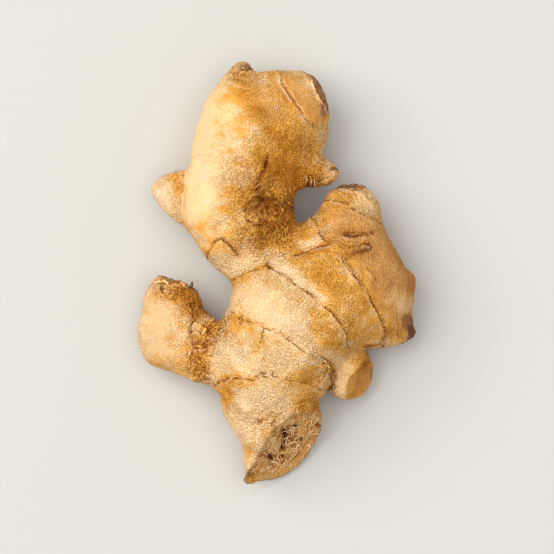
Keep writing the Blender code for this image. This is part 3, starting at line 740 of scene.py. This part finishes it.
def thinned(obj, points):
    """Fewer faces on the lower side, so that the whole skin stays under its number of triangles."""
    group = obj.vertex_groups.new(name="lower_side")
    group.add(np.flatnonzero(points[:, 2] < LOWER_SIDE).tolist(), 1.0, "REPLACE")
    triangles = sum(len(face.vertices) - 2 for face in obj.data.polygons)
    modifier = obj.modifiers.new("Thinned", "DECIMATE")
    modifier.vertex_group = group.name
    modifier.vertex_group_factor = 10.0
    modifier.ratio = MOST_TRIANGLES / triangles
    apply_modifiers(obj)


def points_of(mesh):
    points = np.empty(len(mesh.vertices) * 3)
    mesh.vertices.foreach_get("co", points)
    return points.reshape(-1, 3)


def put_points(mesh, points):
    mesh.vertices.foreach_set("co", points.ravel())
    mesh.update()


def store(mesh, name, values):
    attribute = mesh.attributes.new(name, "FLOAT", "POINT")
    attribute.data.foreach_set("value", values.astype(np.float32))


def fine_mesh():
    """The plain form as an even fine mesh."""
    shape = bmesh.new()
    for line in MIDDLE_LINES.values():
        for x, y, z, radius in line[::2]:
            place = Matrix.Translation((x, y, z))
            bmesh.ops.create_icosphere(shape, subdivisions=2, radius=radius, matrix=place)
    mesh = bpy.data.meshes.new("rhizome_skin")
    shape.to_mesh(mesh)
    shape.free()
    obj = add_object("rhizome_skin", mesh)
    remeshed(obj, ROUGH_VOXEL)
    put_points(obj.data, settle(points_of(obj.data))[0])
    remeshed(obj, FINE_VOXEL)
    return obj


def make_skin():
    """The rhizome's skin, with what its colours are worked out from, and its points with all relief."""
    obj = fine_mesh()
    plain, outward = settle(points_of(obj.data))
    wandering = warped(warped(plain, 1.1, 4.5, 20.0), 0.5, 1.4, 60.0)
    shares = {kind: mark_share(wandering, marks) for kind, marks in MARKS.items()}
    torn, rim, knob_face, dish = faces_share(plain)
    line_relief, line, line_dark, line_lip = follow_lines(plain)
    scar_relief, scar = root_scars(plain)
    fine, pit = fine_relief(plain, shares, torn, rim)
    relief = large_relief(plain) + fine + scar_relief + line_relief * (1 - torn) - dish
    stored = {
        **shares,
        "torn": torn,
        # Painted shade: how deep in a pit each point is, which the torn face's colour darkens.
        "pit": pit,
        "rim": rim,
        "knob_face": knob_face,
        "scar": scar,
        # Painted shade: how low the fine relief lies, which the colours darken as if shaded.
        "low": clip01(-(fine - 0.02) / 0.35),
        "line": line,
        "line_dark": line_dark,
        "line_lip": line_lip,
        "under": smooth_step(0.1, -0.6, outward[:, 2]),
    }
    for name, values in stored.items():
        store(obj.data, name, values)
    return obj, plain + relief[:, None] * outward


def rested(points):
    """The skin's points flat on the table, and the move that puts their middle over the origin."""
    points[:, 2] = np.maximum(points[:, 2], 0.0)
    low, high = points.min(0), points.max(0)
    return points, np.array([*(low + high)[:2] / 2, 0.0])


# Papery edges, strands and tips


class Surface:
    """The finished skin, as seen from above."""

    def __init__(self, mesh, points):
        self.tree = BVHTree.FromPolygons(points.tolist(), [tuple(face.vertices) for face in mesh.polygons])

    def at(self, x, y):
        hit, outward, _, _ = self.tree.ray_cast(Vector((x, y, 60)), Vector((0, 0, -1)))
        return (np.array(hit), np.array(outward)) if hit else (None, None)

    def smooth_at(self, x, y):
        """The skin under a place, and the mean way out of it round there."""
        hit, total = self.at(x, y)
        if hit is None:
            return None, None
        for dx, dy in ((0.8, 0), (-0.8, 0), (0, 0.8), (0, -0.8)):
            beside = self.at(x + dx, y + dy)[1]
            if beside is not None:
                total = total + beside
        return hit, unit(total)


def resampled(course, step):
    """Even steps along a course."""
    lengths = np.concatenate([[0], np.cumsum(np.linalg.norm(np.diff(course, axis=0), axis=1))])
    wanted = np.linspace(0, lengths[-1], max(3, int(lengths[-1] / step)))
    return np.stack([np.interp(wanted, lengths, column) for column in course.T], axis=1)


def frill_grid(surface, height, lean, course, number):
    """Rows of points up one papery edge: ragged at the top, rooted in the skin, and leaning over."""
    course = resampled(curve_through(course, 6), FRILL_STEP)
    ahead = np.gradient(course, axis=0)
    right = unit(np.stack([ahead[:, 1], -ahead[:, 0]], axis=1))
    feet = [surface.at(x, y)[0] for x, y in course]
    if all(foot is not None for foot in feet):
        course = course + line_wander(np.array(feet))[:, None] * right
    found = [surface.smooth_at(x, y) for x, y in course]
    found = [pair for pair in found if pair[0] is not None]
    feet = np.array([foot for foot, _ in found])
    outward = np.array([out for _, out in found])
    side = unit(np.cross(outward, np.gradient(feet, axis=0)))
    steps = np.arange(len(feet))
    walked = np.stack([steps * FRILL_STEP, np.full(len(feet), 9.0 * number), np.zeros(len(feet))], axis=1)
    ragged = clip01(0.42 + 0.9 * noise_at(walked, 2.4) + 1.1 * noise_at(walked, 0.9, 5.0))
    ends = np.minimum(steps, len(feet) - 1 - steps) * FRILL_STEP
    rise = height * ragged * smooth_step(-0.3, 1.0, ends)
    curl = 1 + 0.8 * noise_at(walked, 3.0, 7.0)
    rows = []
    for up in np.linspace(0, 1, FRILL_ROWS):
        out = rise * up - FRILL_ROOT * (1 - up)
        over = lean * curl * rise * up**2
        rows.append(feet + out[:, None] * outward + over[:, None] * side)
    return np.stack(rows, axis=1)


def shell(grid, thickness):
    """A closed thin shell round a grid of points: its points and faces."""
    long, wide = grid.shape[:2]
    across = unit(np.cross(np.gradient(grid, axis=0), np.gradient(grid, axis=1)))
    points = np.concatenate([(grid + way * thickness / 2 * across).reshape(-1, 3) for way in (1, -1)])
    index = np.arange(long * wide).reshape(long, wide)
    back = long * wide
    faces = []
    for i in range(long - 1):
        for j in range(wide - 1):
            a, b, c, d = index[i, j], index[i + 1, j], index[i + 1, j + 1], index[i, j + 1]
            faces += [(a, b, c, d), (d + back, c + back, b + back, a + back)]
    border = [*index[:, 0], *index[-1, 1:], *index[-2::-1, -1], *index[0, -2:0:-1]]
    for a, b in zip(border, border[1:] + border[:1]):
        faces.append((b, a, a + back, b + back))
    return points, faces


def tube(course, radii, sides):
    """A closed round strand along a course."""
    ahead = unit(np.gradient(course, axis=0))
    side = unit(np.cross(ahead, (0.05, 0.12, 1.0)))
    up = np.cross(side, ahead)
    angles = 2 * np.pi * np.arange(sides) / sides
    ring = np.cos(angles)[None, :, None] * side[:, None] + np.sin(angles)[None, :, None] * up[:, None]
    points = (course[:, None] + np.asarray(radii)[:, None, None] * ring).reshape(-1, 3)
    last = (len(course) - 1) * sides
    faces = []
    for first in range(0, last, sides):
        for j in range(sides):
            k = (j + 1) % sides
            faces.append((first + j, first + k, first + sides + k, first + sides + j))
    faces += [tuple(range(sides))[::-1], tuple(range(last, last + sides))]
    return points, faces


def strand_on(surface, course, lift):
    """A strand that lies on the torn face along a course seen from above, bowed up by lift in its middle."""
    course = resampled(curve_through(course, 4), 0.4)
    feet = [surface.at(x, y)[0] for x, y in course]
    feet = np.array([foot for foot in feet if foot is not None])
    if len(feet) < 4:
        return None
    t = np.linspace(0, 1, len(feet))
    feet[1:-1] = (feet[:-2] + feet[1:-1] + feet[2:]) / 3
    feet[:, 2] += 0.08 + lift * np.sin(np.pi * t)
    return tube(feet, STRAND_RADIUS * (0.45 + 0.75 * np.sin(np.pi * t)), sides=6)


def small_strands(random):
    """Courses of the many smaller strands, seen from above, which run more or less one way."""
    face = FLAT_ENDS["torn"]
    middle, outward = np.array(face.middle), np.array(face.outward)
    courses = []
    while len(courses) < SMALL_STRANDS:
        place = random.uniform((-9, -64), (15, -42))
        z = middle[2] - (place - middle[:2]) @ outward[:2] / outward[2]
        share, inside = on_face(np.array([[*place, z]]), face)
        if share[0] < 0.95 or inside[0] < 0.8:
            continue
        turn = np.arctan2(STRAND_WAY[1], STRAND_WAY[0]) + random.normal(0, 0.55)
        bend = random.normal(0, 0.5)
        step = random.uniform(0.4, 1.1)
        course = [place]
        for _ in range(3):
            turn += bend
            course.append(course[-1] + step * np.array([np.cos(turn), np.sin(turn)]))
        courses.append(course)
    return courses


def joined(pieces):
    """One list of points and faces from several."""
    points, faces, start = [], [], 0
    for piece_points, piece_faces in pieces:
        points.append(piece_points)
        faces += [tuple(start + number for number in face) for face in piece_faces]
        start += len(piece_points)
    return np.concatenate(points), faces


def make_frills(surface):
    """The papery edges' points and faces, and how brown each point is."""
    shells, browns = [], []
    for number, (height, lean, brown, course) in enumerate(FRILLS):
        shells.append(shell(frill_grid(surface, height, lean, course, number), FRILL_THICKNESS))
        browns.append(np.full(len(shells[-1][0]), brown))
    return *joined(shells), np.concatenate(browns)


def make_strands(surface):
    random = np.random.default_rng(SEED)
    found = [strand_on(surface, course, 0.35) for course in STRANDS]
    found += [strand_on(surface, course, random.uniform(0, 0.3)) for course in small_strands(random)]
    return joined([strand for strand in found if strand])


def make_tips():
    pieces = []
    for number, (foot, tip, radius) in enumerate(TIPS):
        t = np.linspace(0, 1, 7)
        course = np.array(foot) + t[:, None] * (np.array(tip) - np.array(foot))
        course = warped(course, 0.25 * radius, 1.3, number, step=3.0)
        pieces.append(tube(course, radius * np.sqrt(1.02 - t**2), sides=9))
    return joined(pieces)


def finish_piece(obj, material):
    obj.data.shade_smooth()
    obj.data.materials.append(material)
    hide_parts("rhizome")
    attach(obj, "root")


def add_piece(name, points, faces, material, brown=None):
    mesh = bpy.data.meshes.new(name)
    mesh.from_pydata(((points - shift) * MM).tolist(), [], faces)
    mesh.update()
    if brown is not None:
        store(mesh, "brown", brown)
    finish_piece(add_object(name, mesh), material)


# Materials


def srgb(red, green, blue):
    """A colour as seen on a screen, from 0 to 255, as Blender's linear colour."""
    shown = np.array([red, green, blue]) / 255
    linear = np.where(shown <= 0.04045, shown / 12.92, ((shown + 0.055) / 1.055) ** 2.4)
    return (*linear.tolist(), 1.0)


PALE = srgb(243, 210, 176)
CREAM = srgb(246, 209, 158)
TAN = srgb(240, 177, 82)
OCHRE = srgb(212, 138, 34)
BROWN = srgb(158, 84, 8)
DARK = srgb(98, 46, 8)
CORK = srgb(150, 116, 96)
ROSE = srgb(192, 145, 100)
FLESH_LIGHT = srgb(252, 206, 132)
FLESH = srgb(238, 164, 80)
FLESH_DARK = srgb(168, 96, 20)
FLESH_RIM = srgb(224, 168, 98)
MOSS = srgb(128, 124, 96)
PAPER = srgb(191, 189, 184)
# What a colour is multiplied by for the painted shade in the hollows between grains, which also tints smooth
# skin and mottles the papery edges; and in cracks, brown and partly painted shade, in the torn face's
# tatters, and for the painted shade in the deepest hollows of rough skin.
HOLLOW_SHADE_AND_TINT = (0.68, 0.565, 0.44, 1.0)
CRACKS_AND_DEEP_SHADE = (0.40, 0.25, 0.12, 1.0)


class Number:
    """What a shader node gives. With +, -, * and abs it makes more nodes, as if it were a number."""

    def __init__(self, nodes, socket):
        self.nodes = nodes
        self.socket = socket

    def __add__(self, other):
        return self.nodes.math("ADD", self, other)

    def __sub__(self, other):
        return self.nodes.math("SUBTRACT", self, other)

    def __rsub__(self, other):
        return self.nodes.math("SUBTRACT", other, self)

    def __mul__(self, other):
        return self.nodes.math("MULTIPLY", self, other)

    def __abs__(self):
        return self.nodes.math("ABSOLUTE", self)

    __radd__ = __add__
    __rmul__ = __mul__


class Nodes:
    """The shader nodes of one material."""

    def __init__(self, name, roughness, specular):
        self.material = bpy.data.materials.new(name)
        self.material.use_nodes = True
        self.tree = self.material.node_tree
        self.shader = self.tree.nodes["Principled BSDF"]
        self.give("Roughness", roughness)
        self.give("Specular IOR Level", specular)
        self.place = self.node("TexCoord", "Object", {})

    def put(self, value, socket):
        if isinstance(value, Number):
            self.tree.links.new(value.socket, socket)
        else:
            socket.default_value = value

    def give(self, name, value):
        """Sets one input of the material's shader."""
        self.put(value, self.shader.inputs[name])

    def node(self, kind, output, inputs, **settings):
        """One output of a new node."""
        node = self.tree.nodes.new("ShaderNode" + kind)
        for name, value in settings.items():
            setattr(node, name, value)
        for name, value in inputs.items():
            self.put(value, node.inputs[name])
        return Number(self, node.outputs[output])

    def stored(self, *names):
        """What the mesh stores at each point under some names: one, or several in the same order."""
        found = [self.node("Attribute", "Fac", {}, attribute_name=name) for name in names]
        return found if len(found) > 1 else found[0]

    def math(self, operation, a, b=0.0):
        return self.node("Math", 0, {0: a, 1: b}, operation=operation)

    def ramp(self, value, low, high, start=0.0, end=1.0):
        """value's way from low to high, eased, as a way from start to end."""
        inputs = dict(enumerate((value, low, high, start, end)))
        return self.node("MapRange", 0, inputs, interpolation_type="SMOOTHSTEP")

    def noise(self, size_mm, detail=2.0, roughness=0.5, distortion=0.0, output="Fac"):
        """Cloudy noise from 0 to 1 whose lumps are about size_mm across."""
        inputs = {"Vector": self.place, "Scale": 1 / (size_mm * MM)}
        inputs |= {"Detail": detail, "Roughness": roughness, "Distortion": distortion}
        return self.node("TexNoise", output, inputs)

    def moved(self, reach_mm, size_mm):
        """The place, moved about by up to reach_mm by noise."""
        inputs = {0: self.noise(size_mm, output="Color"), 1: [2 * reach_mm * MM] * 3, 2: self.place}
        return self.node("VectorMath", 0, inputs, operation="MULTIPLY_ADD")

    def cells(self, size_mm, place):
        """Pebbles about size_mm across: 0 in the middle of each, growing outwards."""
        inputs = {"Vector": place, "Scale": 1 / (size_mm * MM)}
        return self.node("TexVoronoi", "Distance", inputs, feature="F1")

    def mix(self, share, a, b, blend="MIX"):
        return self.node("Mix", 2, {0: share, 6: a, 7: b}, data_type="RGBA", blend_type=blend)

    def darkened(self, share, colour, shade):
        """The colour, times shade where share is 1."""
        return self.mix(share, colour, shade, "MULTIPLY")

    def bump(self, height, depth_mm):
        self.give("Normal", self.node("Bump", "Normal", {"Height": height, "Distance": depth_mm * MM}))


def skin_tone(n, flecks):
    """How brown the skin is, from 0 where it is cleanest to 1: broad clouds, speckles, its marks, and more
    brown where it faces down.
    """
    tone = 0.30 + 0.70 * (n.noise(17, detail=3) - 0.5)
    tone += 0.75 * (n.noise(5, detail=4, roughness=0.55) - 0.5) + 0.55 * (flecks - 0.5)
    weights = {"brown": 0.50, "pale": -0.36, "under": 0.12, "knob_face": 0.30, "scar": 0.30}
    for name, weight in weights.items():
        tone += weight * n.stored(name)
    return tone


def line_colours(n, colour, ragged):
    """The lines of the skin: a painted highlight on the lip, and brown specks and a thin crack that are
    partly painted shade of the groove, all broken up by noise.
    """
    line, line_dark, line_lip, torn = n.stored("line", "line_dark", "line_lip", "torn")
    line_dark = line_dark * (1 - torn)
    wavy = line + 1.2 * (ragged - 0.5)
    # Painted highlight: a pale band on the lip, on the right of the line.
    lip = n.ramp(abs(wavy + 0.7), 0.6, 0.1) * (0.40 * line_lip)
    colour = n.mix(lip * n.ramp(n.noise(4), 0.38, 0.6), colour, PALE)
    # Painted shade, partly the line's own brown: specks on the groove's side and a thin dark crack in the
    # groove.
    band = n.ramp(abs(wavy - 0.35), 1.3, 0.1) * line_dark
    specks = n.ramp(n.noise(0.7, detail=3, roughness=0.7) + 0.22 * band, 0.57, 0.84)
    colour = n.darkened(specks * n.ramp(band, 0.02, 0.5), colour, CRACKS_AND_DEEP_SHADE)
    broken = n.ramp(n.noise(3.0, detail=3) + 0.14 * line_dark, 0.52, 0.64)
    crack = n.ramp(abs(wavy - 0.12), 0.22, 0.06) * (broken * n.ramp(line_dark, 0.0, 0.9))
    return n.darkened(0.9 * crack, colour, CRACKS_AND_DEEP_SHADE), crack


def torn_colour(n):
    low, rim, pit = n.stored("low", "rim", "pit")
    flesh = n.mix(n.ramp(n.noise(2.6, detail=4, roughness=0.65), 0.40, 0.60), FLESH, FLESH_LIGHT)
    tatters = n.ramp(n.noise(0.7, detail=3, roughness=0.65, distortion=1.2), 0.47, 0.35)
    flesh = n.darkened(0.9 * tatters, flesh, CRACKS_AND_DEEP_SHADE)
    # Painted shade: the torn face's low places are darker, and its pits dark.
    flesh = n.mix(0.8 * n.ramp(low, 0.15, 0.9), flesh, FLESH_DARK)
    flesh = n.mix(0.55 * rim, flesh, FLESH_RIM)
    return n.mix(n.ramp(pit, 0.25, 0.85), flesh, DARK)


def skin_colour(n, tone, grain, wild, ragged):
    """The skin's colour by how brown it is, with painted shade in its low places and the hollows between its
    grains, painted shade and highlights on its rough skin, its marks and its torn face.
    """
    rough, smooth, worn, pale, low, torn = n.stored("rough", "smooth", "worn", "pale", "low", "torn")
    colour = n.mix(n.ramp(tone, -0.15, 0.12), PALE, CREAM)
    for start, end, browner in ((0.18, 0.50, TAN), (0.44, 0.78, OCHRE), (0.74, 1.15, BROWN)):
        colour = n.mix(n.ramp(tone, start, end), colour, browner)
    colour = n.mix(0.65 * worn, colour, ROSE)
    # Painted shade: the low places of the relief turn browner, most on rough skin.
    colour = n.mix(low * (0.2 + 0.4 * rough), colour, BROWN)
    even = (1 - 0.85 * smooth) * (1 - 0.4 * pale) * (1 - 0.35 * worn)
    # Painted shade in the hollows between the grains, where the bump lies low; smooth skin is only tinted by
    # it.
    colour = n.darkened(n.ramp(grain, 0.48, 0.36) * even + 0.45 * smooth, colour, HOLLOW_SHADE_AND_TINT)
    # Painted shade and highlight on rough skin: ochre, hollow shade and deep shade where its bump lies low,
    # and tan on its crests, which also shows its golden fibres.
    colour = n.mix(0.5 * (n.ramp(wild, 0.60, 0.42) * rough), colour, OCHRE)
    colour = n.darkened(n.ramp(grain, 0.46, 0.36) * rough, colour, HOLLOW_SHADE_AND_TINT)
    colour = n.darkened(n.ramp(wild, 0.50, 0.39) * rough, colour, CRACKS_AND_DEEP_SHADE)
    colour = n.mix(0.75 * (n.ramp(wild, 0.52, 0.61) * rough), colour, TAN)
    cork = n.mix(n.ramp(wild, 0.56, 0.42), CORK, BROWN)
    for name, shown, strength in (("cork", cork, 0.85), ("dark", DARK, 0.7), ("scar", BROWN, 0.55)):
        share = n.ramp(n.stored(name) + 1.1 * (ragged - 0.5), 0.30, 0.75)
        colour = n.mix(share * strength, colour, shown)
    colour, crack = line_colours(n, colour, ragged)
    return n.mix(n.ramp(torn + 0.8 * (ragged - 0.5), 0.35, 1.05), colour, torn_colour(n)), crack


def skin_material():
    n = Nodes("ginger_skin", roughness=0.66, specular=0.18)
    flecks = n.noise(2.2, detail=3, roughness=0.6)
    pebbles = n.ramp(n.cells(0.62, n.moved(0.25, 1.0)), 0.75, 0.15)
    grain = 0.66 * n.noise(0.44, roughness=0.6) + 0.34 * pebbles
    ragged = n.noise(1.2, detail=3, roughness=0.65)
    wild = 0.55 * n.noise(1.4, detail=4, roughness=0.7) + 0.45 * n.noise(0.6)
    colour, crack = skin_colour(n, skin_tone(n, flecks), grain, wild, ragged)
    n.give("Base Color", colour)
    worn, smooth, pale, rough, torn = n.stored("worn", "smooth", "pale", "rough", "torn")
    even = (1 - 0.35 * worn) * (1 - 0.85 * smooth) * (1 - 0.35 * pale)
    height = grain * (even * n.ramp(n.noise(6), 0.35, 0.6, 0.8, 1.35))
    height += 1.9 * wild * (rough + 1.3 * torn) - 0.6 * crack
    n.bump(height, depth_mm=1.1)
    n.give("Roughness", n.ramp(flecks, 0.3, 0.7, 0.60, 0.74))
    return n.material


def frill_material():
    n = Nodes("papery_skin", roughness=0.75, specular=0.15)
    tone = n.noise(2.4, detail=3, roughness=0.65) + 0.45 * (n.stored("brown") - 0.4)
    colour = n.mix(n.ramp(tone, 0.36, 0.52), CREAM, TAN)
    colour = n.mix(n.ramp(tone, 0.50, 0.72), colour, BROWN)
    n.give("Base Color", n.darkened(n.ramp(n.noise(0.6), 0.5, 0.3), colour, HOLLOW_SHADE_AND_TINT))
    n.bump(n.noise(0.5), depth_mm=0.4)
    return n.material


def strand_material():
    n = Nodes("torn_strands", roughness=0.7, specular=0.15)
    colour = n.mix(n.ramp(n.noise(2.0), 0.48, 0.66), CREAM, FLESH)
    n.give("Base Color", n.mix(n.ramp(n.noise(0.7), 0.55, 0.75), colour, FLESH_DARK))
    n.bump(n.noise(0.3), depth_mm=0.2)
    return n.material


def tip_material():
    n = Nodes("bud_tips", roughness=0.7, specular=0.15)
    colour = n.mix(n.ramp(n.noise(3.0), 0.42, 0.58), MOSS, BROWN)
    n.give("Base Color", n.mix(n.ramp(n.noise(0.8, detail=3), 0.42, 0.62), colour, DARK))
    n.bump(n.noise(0.5, detail=3), depth_mm=0.5)
    return n.material


def floor_material():
    n = Nodes("studio_paper", roughness=0.9, specular=0.1)
    n.give("Base Color", PAPER)
    return n.material


# Floor, light and camera, in metres

FLOOR_HALF_WIDTH = 4.0
# The camera looks straight down: how wide its view is at what height, and in millimetres, its middle.
VIEW_WIDTH, VIEW_HEIGHT = 0.1662, 0.016
VIEW_MIDDLE = (0.6, -1.65)
LENS, SENSOR = 180.0, 36.0
# Soft boxes: where each one is seen from, its size and its power.
SOFTBOXES = {
    "softbox_left": ((-0.58, 0.26, 0.76), 1.8, 42.5),
    "softbox_top": ((0.05, 0.05, 1.0), 2.2, 30.0),
}
LIGHT_DISTANCE = 2.2
LIGHT_COLOUR, SKY_COLOUR, SKY_STRENGTH = (1.0, 0.98, 0.94), (0.97, 1.0, 1.0, 1.0), 0.56


def make_floor():
    half = FLOOR_HALF_WIDTH
    corners = [(-half, -half, 0), (half, -half, 0), (half, half, 0), (-half, half, 0)]
    mesh = bpy.data.meshes.new("floor")
    mesh.from_pydata(corners, [], [(0, 1, 2, 3)])
    mesh.materials.append(floor_material())
    floor = add_object("floor", mesh)


def make_lights():
    for name, (way, size, watts) in SOFTBOXES.items():
        way = Vector(way).normalized()
        light = bpy.data.lights.new(name, "AREA")
        light.size = size
        light.energy = watts
        light.color = LIGHT_COLOUR
        obj = add_object(name, light)
        obj.location = way * LIGHT_DISTANCE
        obj.rotation_euler = way.to_track_quat("Z", "Y").to_euler()
    world = bpy.data.worlds.new("room")
    world.use_nodes = True
    sky = world.node_tree.nodes["Background"]
    sky.inputs["Color"].default_value = SKY_COLOUR
    sky.inputs["Strength"].default_value = SKY_STRENGTH
    bpy.context.scene.world = world


def make_camera():
    camera = bpy.data.cameras.new("camera")
    camera.lens = LENS
    camera.sensor_width = SENSOR
    camera.clip_start = 0.01
    obj = add_object("camera", camera)
    x, y = (np.array(VIEW_MIDDLE) - shift[:2]) * MM
    obj.location = (x, y, VIEW_HEIGHT + VIEW_WIDTH * LENS / SENSOR)
    bpy.context.scene.camera = obj


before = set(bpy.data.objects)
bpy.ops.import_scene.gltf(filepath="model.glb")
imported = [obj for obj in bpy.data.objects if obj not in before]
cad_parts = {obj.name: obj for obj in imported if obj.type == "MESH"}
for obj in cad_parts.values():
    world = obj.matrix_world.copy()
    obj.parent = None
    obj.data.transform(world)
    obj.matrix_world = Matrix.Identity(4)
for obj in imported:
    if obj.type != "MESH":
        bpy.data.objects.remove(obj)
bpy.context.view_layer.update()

skin_obj, skin_points = make_skin()
skin_points, shift = rested(skin_points)
surface = Surface(skin_obj.data, skin_points)
put_points(skin_obj.data, (skin_points - shift) * MM)
thinned(skin_obj, skin_points)
finish_piece(skin_obj, skin_material())
frill_points, frill_faces, frill_brown = make_frills(surface)
add_piece("papery_edges", frill_points, frill_faces, frill_material(), frill_brown)
add_piece("torn_strands", *make_strands(surface), strand_material())
add_piece("bud_tips", *make_tips(), tip_material())

make_floor()
make_lights()
make_camera()
bpy.context.scene.view_settings.view_transform = "Standard"
